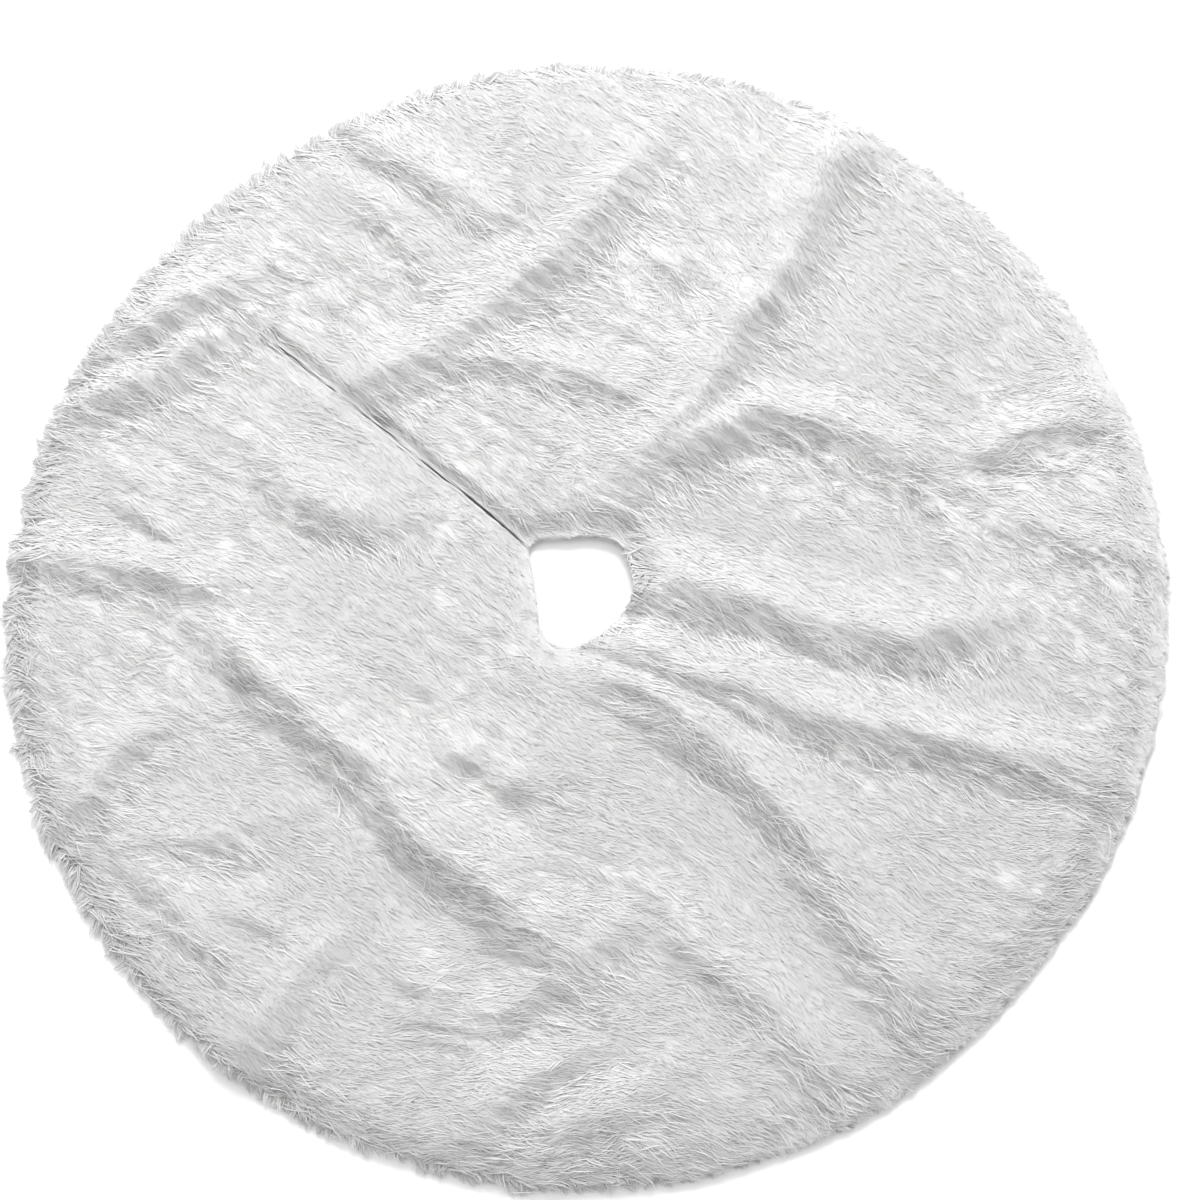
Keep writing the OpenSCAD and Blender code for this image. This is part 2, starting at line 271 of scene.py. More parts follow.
def rim_edge(angle):
    """Radius of the cloth's rim, which is pulled a little out of round."""
    a = np.asarray(angle)
    wave = 0.0045 * np.cos(a - 0.34) + 0.010 * np.cos(2 * a - 1.76) + 0.003 * np.cos(4 * a - 0.25)
    ripple = 0.0016 * np.sin(11 * a + 1) + 0.0013 * np.sin(23 * a + 2) + 0.0008 * np.sin(41 * a)
    return CLOTH_R * (1.009 + wave + ripple)


RISE = Raster(relief)
NAP_ANGLE = Raster(nap_rule)


ON_LINE = 0.004  # points this near the slit's line go to the given side's edge of the gap
SLIT_GIVE = 0.05  # how far to each side the cloth makes way for the gap
SLIT_START = 0.03  # distance from the centre where the gap has its full width


def slit_gap(r):
    return np.interp(r / MM, *zip(*SLIT_GAPS)) * MM


def open_slit(x, y, side):
    """Moves points away from the slit's line, to leave the gap."""
    along, across = slit_frame(x, y)
    side = np.where(np.abs(across) > ON_LINE, np.sign(across), side)
    fade = np.exp(-np.abs(across) / SLIT_GIVE) * smooth(along / SLIT_START)
    wander = 0.0015 * np.sin(along * 21) + 0.0008 * np.sin(along * 57 + 1)
    shift = (side * slit_gap(along) / 2 + wander) * fade
    return x + shift * FLAP_DIR[0], y + shift * FLAP_DIR[1]


# ---- mesh helpers
def placed(name, data):
    """A new object in the scene."""
    ob = bpy.data.objects.new(name, data)
    bpy.context.collection.objects.link(ob)
    return ob


def new_object(name, co, quads, tris=()):
    """A smooth mesh object from numpy arrays."""
    co = np.asarray(co, dtype=np.float32)
    quads = np.asarray(quads, dtype=np.int32).reshape(-1, 4)
    tris = np.asarray(tris, dtype=np.int32).reshape(-1, 3)
    me = bpy.data.meshes.new(name)
    me.vertices.add(len(co))
    me.vertices.foreach_set("co", co.ravel())
    corners = np.concatenate([quads.ravel(), tris.ravel()])
    me.loops.add(len(corners))
    me.loops.foreach_set("vertex_index", corners)
    starts = np.concatenate([np.arange(len(quads)) * 4, 4 * len(quads) + np.arange(len(tris)) * 3])
    me.polygons.add(len(starts))
    me.polygons.foreach_set("loop_start", starts.astype(np.int32))
    me.update(calc_edges=True)
    me.validate()
    me.polygons.foreach_set("use_smooth", np.full(len(starts), True))
    return placed(name, me)


def grid_quads(rows, cols, start=0):
    """Quads of a grid whose points run row by row."""
    r, c = np.meshgrid(np.arange(rows - 1), np.arange(cols - 1), indexing="ij")
    a = (start + r * cols + c).ravel()
    return np.stack([a, a + cols, a + cols + 1, a + 1], axis=1)


def sector_span(side):
    """Angles of one part's two straight edges."""
    return (FOLD - 2 * math.pi, SLIT) if side < 0 else (SLIT, FOLD)


def sector_angles(side, step):
    start, stop = sector_span(side)
    return np.linspace(start, stop, int(round((stop - start) / step)) + 1)


def slab(name, x, y, z_low, z_high):
    """A sheet with two faces and closed edges on a grid of points. Its heights are over the fold."""
    rows, cols = x.shape
    rise = RISE(x, y)
    top = np.stack([x, y, z_high + rise], axis=-1).reshape(-1, 3)
    low = np.stack([x, y, z_low + rise], axis=-1).reshape(-1, 3)
    n = len(top)
    edge = np.concatenate([
        np.arange(cols), np.arange(1, rows) * cols + cols - 1,
        (rows - 1) * cols + np.arange(cols - 2, -1, -1), np.arange(rows - 2, 0, -1) * cols])
    after = np.roll(edge, -1)
    quads = np.concatenate([
        grid_quads(rows, cols), grid_quads(rows, cols, n)[:, ::-1],
        np.stack([edge, after, after + n, edge + n], axis=1)])
    return new_object(name, np.concatenate([top, low]), quads)


def sector_sheet(name, side, z_low, z_high, hole_in, rim_in, step=0.0125, cols=96):
    """
    One part's share of a layer: rows by angle, columns from the hole to the rim. Its upper height is
    a number or a rule.
    """
    a = sector_angles(side, step)[:, None]
    r0, r1 = hole_edge(a) + hole_in, rim_edge(a) - rim_in
    r = r0 + (r1 - r0) * np.linspace(0, 1, cols)[None, :]
    x, y = open_slit(r * np.cos(a), r * np.sin(a), side)
    return slab(name, x, y, z_low, z_high(x, y) if callable(z_high) else z_high)


def swept(name, x, y, out_x, out_y, profile):
    """A profile of (outward offset, height) in mm, carried along a line on the skirt."""
    profile = np.asarray(profile) * MM
    px = x[:, None] + out_x[:, None] * profile[None, :, 0]
    py = y[:, None] + out_y[:, None] * profile[None, :, 0]
    pz = RISE(px, py) + profile[None, :, 1]
    n, m = px.shape
    co = np.stack([px, py, pz], axis=-1).reshape(-1, 3)
    i = np.arange(n - 1)[:, None] * m
    j = np.arange(m)[None, :]
    k = (np.arange(m)[None, :] + 1) % m
    quads = np.stack([i + j, i + m + j, i + m + k, i + k], axis=-1).reshape(-1, 4)
    fans = [[base, base + t, base + t + 1][::turn]
            for base, turn in ((0, 1), ((n - 1) * m, -1)) for t in range(1, m - 1)]
    return new_object(name, co, quads, fans)


# Rings of a stitch: share of its length, and half its thickness as a share of the thread's
STITCH = [(0.0, 0.06), (0.25, 0.5), (0.75, 0.5), (1.0, 0.06)]


def stitch_row(name, x, y, z, pitch=4.2 * MM, length=3.3 * MM, radius=0.42 * MM, sides=5):
    """Separate stitches along a line: short rounded lengths of thread, at height z over the fold."""
    seg = np.hypot(np.diff(x), np.diff(y))
    run = np.concatenate([[0], np.cumsum(seg)])
    count = max(1, int(run[-1] / pitch))
    centre = (np.arange(count) + 0.5) * pitch
    turn = np.arange(sides) * 2 * math.pi / sides
    rings = []
    for share, fat in STITCH:
        s = centre + (share - 0.5) * length
        cx, cy = np.interp(s, run, x), np.interp(s, run, y)
        tx, ty = np.interp(s + MM, run, x) - cx, np.interp(s + MM, run, y) - cy
        d = np.hypot(tx, ty) + 1e-9
        nx, ny = -ty / d, tx / d
        w = radius * 2 * fat
        px = cx[:, None] + nx[:, None] * np.cos(turn)[None] * w
        py = cy[:, None] + ny[:, None] * np.cos(turn)[None] * w
        pz = RISE(px, py) + z + np.sin(turn)[None] * w * 0.6
        rings.append(np.stack([px, py, pz], axis=-1))
    co = np.stack(rings, axis=1)
    m = len(STITCH)
    base = np.arange(count)[:, None, None] * m * sides
    r = np.arange(m - 1)[None, :, None] * sides
    k = np.arange(sides)[None, None, :]
    k2 = (k + 1) % sides
    quads = np.stack([base + r + k, base + r + k2, base + r + sides + k2, base + r + sides + k], axis=-1)
    fans = []
    first = np.arange(count) * m * sides
    last = first + (m - 1) * sides
    for t in range(1, sides - 1):
        fans += [np.stack([first, first + t + 1, first + t], axis=1)]
        fans += [np.stack([last, last + t, last + t + 1], axis=1)]
    return new_object(name, co.reshape(-1, 3), quads.reshape(-1, 4), np.concatenate(fans))


# ---- materials
class Nodes:
    """A material under construction: a Principled shader and short calls that add nodes to it."""

    def __init__(self, name, roughness, sheen=0.0, specular=0.3):
        self.mat = bpy.data.materials.new(name)
        self.mat.use_nodes = True
        self.tree = self.mat.node_tree
        self.shader = self.tree.nodes["Principled BSDF"]
        for field, value in (("Roughness", roughness), ("Sheen Weight", sheen),
                             ("Sheen Roughness", 0.5), ("Specular IOR Level", specular)):
            self.shader.inputs[field].default_value = value
        self.coords = self.tree.nodes.new("ShaderNodeTexCoord")

    def link(self, a, b):
        self.tree.links.new(a, b)

    def mapped(self, scale=(1, 1, 1), turn=0.0):
        """Object coordinates turned about +Z, then scaled."""
        vector = self.coords.outputs["Object"]
        for field, value in (("Rotation", (0, 0, turn)), ("Scale", scale)):
            n = self.tree.nodes.new("ShaderNodeMapping")
            n.inputs[field].default_value = value
            self.link(vector, n.inputs["Vector"])
            vector = n.outputs["Vector"]
        return vector

    def texture(self, kind, vector, **inputs):
        n = self.tree.nodes.new("ShaderNodeTex" + kind)
        for name, value in inputs.items():
            n.inputs[name].default_value = value
        self.link(vector, n.inputs["Vector"])
        return n

    def noise(self, vector, scale, detail=3.0, rough=0.55):
        return self.texture("Noise", vector, Scale=scale, Detail=detail, Roughness=rough).outputs["Fac"]

    def wave(self, vector, scale, direction, distortion=0.0):
        n = self.texture("Wave", vector, Scale=scale, Distortion=distortion, Detail=1.0)
        n.bands_direction = direction
        return n.outputs["Fac"]

    def voronoi(self, vector, scale):
        return self.texture("Voronoi", vector, Scale=scale).outputs["Distance"]

    def math(self, rule, a, b):
        n = self.tree.nodes.new("ShaderNodeMath")
        n.operation = rule
        for value, socket in ((a, n.inputs[0]), (b, n.inputs[1])):
            if isinstance(value, (int, float)):
                socket.default_value = value
            else:
                self.link(value, socket)
        return n.outputs[0]

    def total(self, *shares):
        """The sum of values, each times its share."""
        mix = None
        for value, share in shares:
            part = self.math("MULTIPLY", value, share)
            mix = part if mix is None else self.math("ADD", mix, part)
        return mix

    def span(self, value, low, high):
        """Maps 0..1 to low..high."""
        n = self.tree.nodes.new("ShaderNodeMapRange")
        n.inputs["To Min"].default_value = low
        n.inputs["To Max"].default_value = high
        self.link(value, n.inputs["Value"])
        return n.outputs["Result"]

    def colour(self, value, dark, light):
        n = self.tree.nodes.new("ShaderNodeValToRGB")
        for stop, place, tint in zip(n.color_ramp.elements, (0.25, 0.75), (dark, light)):
            stop.position = place
            stop.color = (*tint, 1)
        self.link(value, n.inputs["Fac"])
        self.link(n.outputs["Color"], self.shader.inputs["Base Color"])

    def rough(self, value, low, high):
        self.link(self.span(value, low, high), self.shader.inputs["Roughness"])

    def bump(self, value, depth, strength=0.6):
        n = self.tree.nodes.new("ShaderNodeBump")
        n.inputs["Strength"].default_value = strength
        n.inputs["Distance"].default_value = depth
        self.link(value, n.inputs["Height"])
        self.link(n.outputs["Normal"], self.shader.inputs["Normal"])


def grey(value, warm=0.006):
    """A grey that is a little warm."""
    return (value, value * (1 - warm * 0.4), value * (1 - warm))


def woven(name, dark, light, threads, turn, roughness, sheen, depth):
    """Plain weave: two crossed sets of threads, with slubs and soft wear."""
    m = Nodes(name, roughness, sheen)
    v = m.mapped(turn=turn)
    weave = m.math("MULTIPLY", m.wave(v, threads, "X", 0.4), m.wave(v, threads, "Y", 0.4))
    slub = m.noise(m.mapped((1, 12, 1), turn), 90)
    wear = m.noise(m.mapped(), 9, 4)
    mix = m.total((weave, 0.45), (slub, 0.30), (wear, 0.30))
    m.colour(mix, dark, light)
    m.rough(wear, roughness - 0.08, roughness + 0.08)
    m.bump(m.math("ADD", weave, m.math("MULTIPLY", slub, 0.5)), depth)
    return m.mat


def twill(name, dark, light, ribs, turn, roughness, depth):
    """Twill or webbing: slanting ribs crossed by finer threads."""
    m = Nodes(name, roughness, 0.15)
    rib = m.wave(m.mapped(turn=turn), ribs, "X", 0.3)
    thread = m.wave(m.mapped(turn=turn + 1.1), ribs * 2.3, "X", 0.2)
    wear = m.noise(m.mapped(), 22, 4)
    mix = m.total((rib, 0.5), (thread, 0.25), (wear, 0.3))
    m.colour(mix, dark, light)
    m.rough(wear, roughness - 0.1, roughness + 0.1)
    m.bump(m.math("ADD", rib, thread), depth)
    return m.mat


def knit(name, dark, light):
    """Fine knit that shows between the tufts: rows of small loops."""
    m = Nodes(name, 0.85, 0.2)
    v = m.mapped((1, 1.5, 1), 0.3)
    loops = m.voronoi(v, 620)
    rows = m.wave(v, 190, "Y", 1.2)
    wear = m.noise(m.mapped(), 14, 4)
    mix = m.total((loops, 0.6), (rows, 0.25), (wear, 0.3))
    m.colour(mix, dark, light)
    m.rough(wear, 0.75, 0.95)
    m.bump(m.math("ADD", loops, rows), 0.0004)
    return m.mat


def undercoat(name):
    """The dense woolly base of the pile, combed the same way as the locks."""
    m = Nodes(name, 0.75, 0.25)
    streak = m.noise(m.mapped((18, 260, 40), 0.58), 1.0, 4)
    fine = m.noise(m.mapped((60, 900, 90), 0.58), 1.0, 2)
    blotch = m.noise(m.mapped(), 12, 3)
    mix = m.total((streak, 0.5), (fine, 0.3), (blotch, 0.2))
    m.colour(mix, grey(0.58), grey(0.72))
    m.bump(m.math("ADD", streak, fine), 0.002)
    return m.mat


def fibre(name, white, roughness):
    """Fur fibre of one shade. Its sheen varies softly over the skirt."""
    m = Nodes(name, roughness, 0.3, 0.25)
    m.shader.inputs["Base Color"].default_value = (*grey(white), 1)
    m.link(m.span(m.noise(m.mapped(), 14), 0.15, 0.45), m.shader.inputs["Sheen Weight"])
    return m.mat


def hooks(name):
    """Hook strip: rows of small nylon hooks."""
    m = Nodes(name, 0.5, 0.0, 0.4)
    v = m.mapped(turn=SLIT)
    dots = m.voronoi(v, 700)
    rows = m.wave(v, 330, "X")
    mix = m.total((dots, 0.7), (rows, 0.3))
    m.colour(mix, grey(0.55), grey(0.80))
    m.rough(dots, 0.35, 0.6)
    m.bump(mix, 0.0005, 0.9)
    return m.mat


def loops(name):
    """Loop strip: brushed fuzz."""
    m = Nodes(name, 0.9, 0.15)
    fuzz = m.noise(m.mapped(), 520, 5, 0.7)
    nap = m.noise(m.mapped((1, 5, 1), SLIT), 160, 3)
    mix = m.total((fuzz, 0.6), (nap, 0.4))
    m.colour(mix, grey(0.40), grey(0.58))
    m.rough(nap, 0.8, 0.98)
    m.bump(mix, 0.0006, 0.8)
    return m.mat


def satin(name):
    """Satin of the blank label: fine, shiny threads."""
    m = Nodes(name, 0.35, 0.1, 0.5)
    v = m.mapped(turn=SLIT)
    threads = m.wave(v, 420, "X", 0.5)
    soft = m.noise(m.mapped((1, 6, 1), SLIT), 60, 3)
    mix = m.total((threads, 0.4), (soft, 0.6))
    m.colour(mix, grey(0.60), grey(0.72))
    m.rough(soft, 0.28, 0.45)
    m.bump(threads, 0.0001, 0.5)
    return m.mat


def thread(name):
    """Twisted sewing thread."""
    m = Nodes(name, 0.6, 0.1, 0.4)
    twist = m.wave(m.mapped(turn=0.8), 700, "DIAGONAL", 0.4)
    soft = m.noise(m.mapped(), 60, 3)
    mix = m.total((twist, 0.5), (soft, 0.5))
    m.colour(mix, grey(0.56), grey(0.74))
    m.rough(soft, 0.5, 0.7)
    m.bump(twist, 0.0001, 0.7)
    return m.mat


MATERIALS = {
    "knit_backing": knit("knit_backing", grey(0.62, 0.03), grey(0.80, 0.03)),
    "lining": woven("lining_weave", grey(0.42, 0.03), grey(0.56, 0.03), 230, 0.0, 0.8, 0.1, 0.0003),
    "binding_tape": twill("binding_tape", grey(0.48, 0.02), grey(0.64, 0.02), 260, 0.785, 0.7, 0.0003),
    "webbing": twill("webbing", grey(0.46, 0.02), grey(0.64, 0.02), 170, SLIT + 0.785, 0.75, 0.0005),
    "hook_strip": hooks("hook_strip"),
    "loop_strip": loops("loop_strip"),
    "label_satin": satin("label_satin"),
    "thread": thread("thread"),
    "fur_pile": undercoat("fur_undercoat"),
}
# Fur fibres, from the darkest shade to the lightest: whiteness and roughness. The darkest ones mostly carry
# painted shade on slopes facing away from the key light.
SHADES = [(0.42, 0.65), (0.54, 0.62), (0.625, 0.58), (0.68, 0.55), (0.74, 0.50)]
FIBRES = [fibre("fur_fibre_%d" % (i + 1), white, rough) for i, (white, rough) in enumerate(SHADES)]
LIGHTEST = len(SHADES) - 1

# ---- placing pieces
SIDES = {"main": -1, "flap": 1}  # on which side of the slit each part lies


def settle(ob, part, slot, *nodes):
    """Gives a piece its material, puts a main piece on the skirt's body and bakes a flap piece's place into
    its mesh, and hides the nodes it stands for.
    """
    if not ob.data.materials:
        ob.data.materials.append(MATERIALS[slot])
    if part == "main":
        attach(ob, "skirt")
    else:
        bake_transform(ob)
    if nodes:
        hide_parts(*nodes)


def slit_line(side, r_from, r_to, inset, count=220):
    """Points of a line along one slit edge, set in from it, and the direction out over the slit."""
    s = np.linspace(r_from, r_to, count)
    x, y = open_slit(s * SLIT_DIR[0], s * SLIT_DIR[1], side)
    out_x, out_y = -side * FLAP_DIR
    return x - inset * out_x, y - inset * out_y, np.full(count, out_x), np.full(count, out_y)


def arc_line(edge, side, inset, step=0.008):
    """Points along the rim or the hole of one part, set in from it, and the direction outward in radius."""
    a = sector_angles(side, step)
    r = edge(a) + inset
    x, y = open_slit(r * np.cos(a), r * np.sin(a), side)
    return x, y, np.cos(a), np.sin(a)


def patch(name, s0, s1, w0, w1, z0, z1):
    """A thin strip laid along the slit, between two distances from the centre and two from the slit."""
    x, y = from_slit_frame(*np.meshgrid(np.linspace(s0, s1, 40), np.linspace(w0, w1, 14), indexing="ij"))
    return slab(name, x, y, z0, z1)


def box_on_slit(node):
    """A node's lowest and highest place along and across the slit, in metres."""
    co = np.array([v.co for v in frame["nodes"][node].data.vertices])
    s, w = slit_frame(co[:, 0], co[:, 1])
    return s.min(), s.max(), w.min(), w.max()


SEWN_IN = 0.002  # distance of the stitches from the edges of the label and of the loop strips


def frame_run(name, s0, s1, w0, w1, z):
    """Stitches just inside the edges of a rectangle beside the slit."""
    s0, s1, w0, w1 = s0 + SEWN_IN, s1 - SEWN_IN, w0 + SEWN_IN, w1 - SEWN_IN
    corners = [(s0, w0), (s1, w0), (s1, w1), (s0, w1), (s0, w0)]
    line = [np.linspace(a, b, 40, endpoint=False) for a, b in zip(corners, corners[1:])]
    x, y = from_slit_frame(*np.concatenate(line).T)
    return stitch_row(name, x, y, z, pitch=3.2 * MM, length=2.5 * MM, radius=0.3 * MM)


# ---- cloth, tapes and stitches
# Cross-sections of the folded tapes, in mm: offset from the cloth's edge, and height. The offset grows
# away from the skirt's centre, and at the slit out over the gap.
RIM_TAPE = [(-14, 0.3), (-7, 0.2), (-0.6, 0.3), (0, 0.9), (0.1, 3), (0, 5.0), (-0.6, 5.6), (-1.6, 5.6),
            (-2, 5.2), (-2, 2.9), (-14, 2.8)]
HOLE_TAPE = [(12, 0.3), (12, 2.8), (2, 2.9), (2, 5.2), (1.6, 5.6), (0.6, 5.6), (0, 5.0), (-0.1, 3),
             (0, 0.9), (0.6, 0.3), (6, 0.2)]
SLIT_TAPE = [(0, 5.0), (-0.6, 5.6), (-1.6, 5.6), (-2, 5.2), (-2, 2.9), (-12, 2.8)]
SLIT_TAPE_LOW = {"main": 0.9, "flap": 2.0}  # its underside, over the tabs' margins and over the hooks
SLIT_TAPE_IN = 0.002  # it starts and ends this far inside the cloth's edges
SEAM_IN = 0.0022  # the layers of cloth end this far inside the tapes' outer faces
RIM_SEAM, HOLE_SEAM, SLIT_SEAM = 0.0109, 0.0090, 0.010  # distance of the stitches from the cloth's edge
SEAM_Z = 0.25 * MM  # height of the rim's and the hole's stitches
SLIT_ENDS = 0.012  # the slit's stitches stop this far before its tape does

CLOTH, SEWN = {}, {}
for part, side in SIDES.items():
    backing = sector_sheet("backing_sheet_" + part, side, BACKING_Z, PILE_Z, SEAM_IN, SEAM_IN)
    settle(backing, part, "knit_backing", "backing_" + part)
    lining = sector_sheet("lining_sheet_" + part, side, LINING_Z, BACKING_Z, SEAM_IN, SEAM_IN)
    settle(lining, part, "lining", "lining_" + part)
    CLOTH[part] = (backing, lining)

    rim = swept("rim_tape_" + part, *arc_line(rim_edge, side, 0), RIM_TAPE)
    hole = swept("hole_tape_" + part, *arc_line(hole_edge, side, 0), HOLE_TAPE)
    r_in, r_out = hole_edge(SLIT) + SLIT_TAPE_IN, rim_edge(SLIT) - SLIT_TAPE_IN
    low = SLIT_TAPE_LOW[part]
    profile = [(-12, low), (-0.6, low), (0, low + 0.5), (0.1, 3.4)] + SLIT_TAPE
    slit = swept("slit_tape_" + part, *slit_line(side, r_in, r_out, 0), profile)
    for edge, ob in (("rim", rim), ("hole", hole), ("slit", slit)):
        settle(ob, part, "binding_tape", edge + "_binding_" + part)

    x, y, _, _ = arc_line(rim_edge, side, -RIM_SEAM, 0.004)
    rim_thread = stitch_row("rim_thread_" + part, x, y, SEAM_Z)
    x, y, _, _ = arc_line(hole_edge, side, HOLE_SEAM, 0.03)
    hole_thread = stitch_row("hole_thread_" + part, x, y, SEAM_Z)
    x, y, _, _ = slit_line(side, r_in + SLIT_ENDS, r_out - SLIT_ENDS, SLIT_SEAM)
    slit_thread = stitch_row("slit_thread_" + part, x, y, (low - 0.1) * MM)
    for edge, ob in (("rim", rim_thread), ("hole", hole_thread), ("slit", slit_thread)):
        settle(ob, part, "thread", edge + "_stitches_" + part)
    SEWN[part] = [rim, hole, slit, rim_thread, hole_thread, slit_thread]

LABEL_LOW, LABEL_HIGH = 2.1 * MM, 2.5 * MM
LOOPS_LOW, LOOPS_HIGH = 2.0 * MM, 2.8 * MM
LOOP_EDGE = 0.003  # a loop strip is longer than its hook strip by this at both ends
TABS = ("inner", "middle", "outer")
s0, s1, w0, w1 = box_on_slit("care_label")
label = patch("care_label_satin", s0, s1, w0, w1, LABEL_LOW, LABEL_HIGH)
settle(label, "main", "label_satin", "care_label")
label_thread = frame_run("care_label_thread", s0, s1, w0, w1, LABEL_LOW)
settle(label_thread, "main", "thread", "label_stitches")
SEWN["main"] += [label, label_thread]

_, _, w0, w1 = box_on_slit("loop_strips")
for name in TABS:
    s0, s1, _, _ = box_on_slit("hook_" + name)
    s0, s1 = s0 - LOOP_EDGE, s1 + LOOP_EDGE
    strip = patch("loop_strip_" + name, s0, s1, w0, w1, LOOPS_LOW, LOOPS_HIGH)
    strip_thread = frame_run("loop_thread_" + name, s0, s1, w0, w1, LOOPS_LOW)
    first = name == TABS[0]
    settle(strip, "flap", "loop_strip", *(["loop_strips"] if first else []))
    settle(strip_thread, "flap", "thread", *(["loop_stitches"] if first else []))
    SEWN["flap"] += [strip, strip_thread]

# The tabs are the CAD's own solids, with materials
for node, material in [("tab_margins", "webbing"), ("tab_stitches", "thread")] + \
        [("tab_" + n, "webbing") for n in TABS] + [("hook_" + n, "hook_strip") for n in TABS]:
    for place in frame["nodes"][node].material_slots:
        place.link = "OBJECT"
        place.material = MATERIALS[material]

# ---- fur
rng = np.random.default_rng(SEED)
OVERHANG = 0.030  # how far the pile hangs past the rim at most
HOLE_OVERHANG = 0.0035  # and how far over the trunk hole
SEGMENTS = 4  # lengths between the points of one fibre
CLUMP_STEP = 0.0075  # distance between clumps
PER_CLUMP = 11  # fibres in one clump
FIBRE_LEN = 0.042
LOCK_GAIN = 3.1  # brings smeared noise back to the range from -1 to 1


def combed(x, y, seed, reach, steps, size):
    """Noise smeared along the nap, which gives the locks. It runs from about -1 to 1."""
    total = noise(x, y, size, seed)
    for way in (-1, 1):
        px, py = x, y
        for _ in range(steps):
            a = NAP_ANGLE(px, py)
            px = px + way * reach / steps * np.cos(a)
            py = py + way * reach / steps * np.sin(a)
            total = total + noise(px, py, size, seed)
    return np.clip(total / (2 * steps + 1) * LOCK_GAIN, -1, 1)


def lock_rule(x, y):
    """Broad locks with finer ones in them."""
    return 0.65 * combed(x, y, 31, 0.048, 12, 0.011) + 0.45 * combed(x, y, 32, 0.032, 10, 0.005)


LOCK = Raster(lock_rule)
LIGHT_SIDE = (-0.02, -1.0)  # away from the key light, in plan
FULL_SLOPE = 0.28  # from this slope on, the cloth counts as fully lit or shaded


def facing_rule(x, y):
    """From -1 on slopes that face the key light to 1 on slopes that face away from it."""
    sx, sy = slopes(RISE, x, y, 0.006)
    return np.clip(-(sx * LIGHT_SIDE[0] + sy * LIGHT_SIDE[1]) / FULL_SLOPE, -1, 1)


FACING = Raster(facing_rule)
SLIT_SHOWS = 0.44  # the slit parts the pile as far out as this
FAR = 1.0  # distance given to points beyond the slit's ends


def edge_distances(x, y):
    """How far points lie inside the rim, outside the hole and away from the slit."""
    r, a = np.hypot(x, y), np.arctan2(y, x)
    along, across = slit_frame(x, y)
    clear = np.abs(across) - slit_gap(along) / 2
    clear = np.where((along > 0) & (along < SLIT_SHOWS), clear, FAR)
    return rim_edge(a) - r, r - hole_edge(a), clear


def shaded(x, y):
    """0 where the cloth is level or lit, to 1 on the slopes in full shade."""
    return smooth(FACING(x, y))


def streaked(x, y):
    """0 where the pile lies smooth and 1 where its locks stand out most. Lit crests are the smoothest. It
    also widens the scatter of the fibres' shades, so lit crests get even shades as painted light.
    """
    return smooth((noise(x, y, 0.11, 51) + 0.6) / 1.4) * (1 - 0.95 * smooth(-FACING(x, y)))


def lock_share(x, y):
    """How much deeper or shallower the locks make the pile."""
    return 1 + (0.02 + 0.10 * streaked(x, y) + 0.18 * shaded(x, y)) * LOCK(x, y)


def pile_depth(x, y):
    """Depth of the pile over the backing, less towards its edges."""
    rim, hole, slit = edge_distances(x, y)
    edges = (0.80 + 0.20 * smooth(rim / 0.020)) * (0.25 + 0.75 * smooth(hole / 0.032))
    return PILE_T * edges * (0.55 + 0.45 * smooth(slit / 0.014)) * lock_share(x, y)


TOP = Raster(lambda x, y: RISE(x, y) + 0.9 * PILE_T * lock_share(x, y))


def under_top(x, y):
    """Top of the undercoat, which fills most of the pile and thins out towards the edges."""
    rim, hole, slit = edge_distances(x, y)
    cover = smooth(rim / 0.032) * smooth(hole / 0.030) * smooth(slit / 0.012)
    uneven = 0.0006 * noise(x, y, 0.012, 41) * cover
    return PILE_Z + 0.0012 + pile_depth(x, y) * (0.76 * cover + 0.04) + uneven


FUR = {}
for part, side in SIDES.items():
    under = sector_sheet("undercoat_" + part, side, PILE_Z + 0.0001, under_top,
                         hole_in=0.006, rim_in=0.010, step=0.0135, cols=108)
    settle(under, part, "fur_pile", "pile_" + part)
    FUR[part] = [under]


SLIT_CLOSES = 0.42  # from this far out, fibres reach further over the slit
CLOSING = (0.012, 0.04)  # by how much, and over which length that grows


def held_in(x, y, near_slit, room, side):
    """
    Draws points past the rim, over the hole or over the slit back to a short overhang.
    Also gives how far each is past the rim and, from 0 to 1, into the hole.
    """
    along, across = slit_frame(x, y)
    room = room + CLOSING[0] * smooth((along - SLIT_CLOSES) / CLOSING[1])
    past = np.clip(-side * across + slit_gap(along) / 2, 0, None) * near_slit * (along > SLIT_START)
    back = past - room * (1 - np.exp(-past / room))
    x = x + side * back * FLAP_DIR[0]
    y = y + side * back * FLAP_DIR[1]
    r, a = np.hypot(x, y) + 1e-9, np.arctan2(y, x)
    rim, hole = rim_edge(a), hole_edge(a)
    out = np.clip(r - rim, 0, None)
    drop = np.clip(hole - r, 0, None)
    new = np.where(out > 0, rim + OVERHANG * (1 - np.exp(-out / OVERHANG)), r)
    in_hole = 1 - np.exp(-drop / HOLE_OVERHANG)
    new = np.where(drop > 0, hole - HOLE_OVERHANG * in_hole, new)
    scale = new / r
    return x * scale, y * scale, new - rim, in_hole


RISING = (0.22, 0.72, 0.98, 0.98, 0.90)  # height of a lying fibre along its length, as a share of the pile
LYING = (0.45, 0.80, 0.95, 0.90, 0.80)  # the same for the tufts that fill the pile out to its edges
FALLING = (0.45, 0.62, 0.55, 0.40, 0.22)  # the same for one that hangs over an edge


def path(x, y, turn, length, curl):
    """Points of lying fibres, turned from the nap by a fixed angle and by a curl that grows along them."""
    xs, ys = [x], [y]
    for k in range(SEGMENTS):
        a = NAP_ANGLE(x, y) + turn + curl * k / SEGMENTS
        x = x + length / SEGMENTS * np.cos(a)
        y = y + length / SEGMENTS * np.sin(a)
        xs.append(x)
        ys.append(y)
    return np.stack(xs, 1), np.stack(ys, 1)


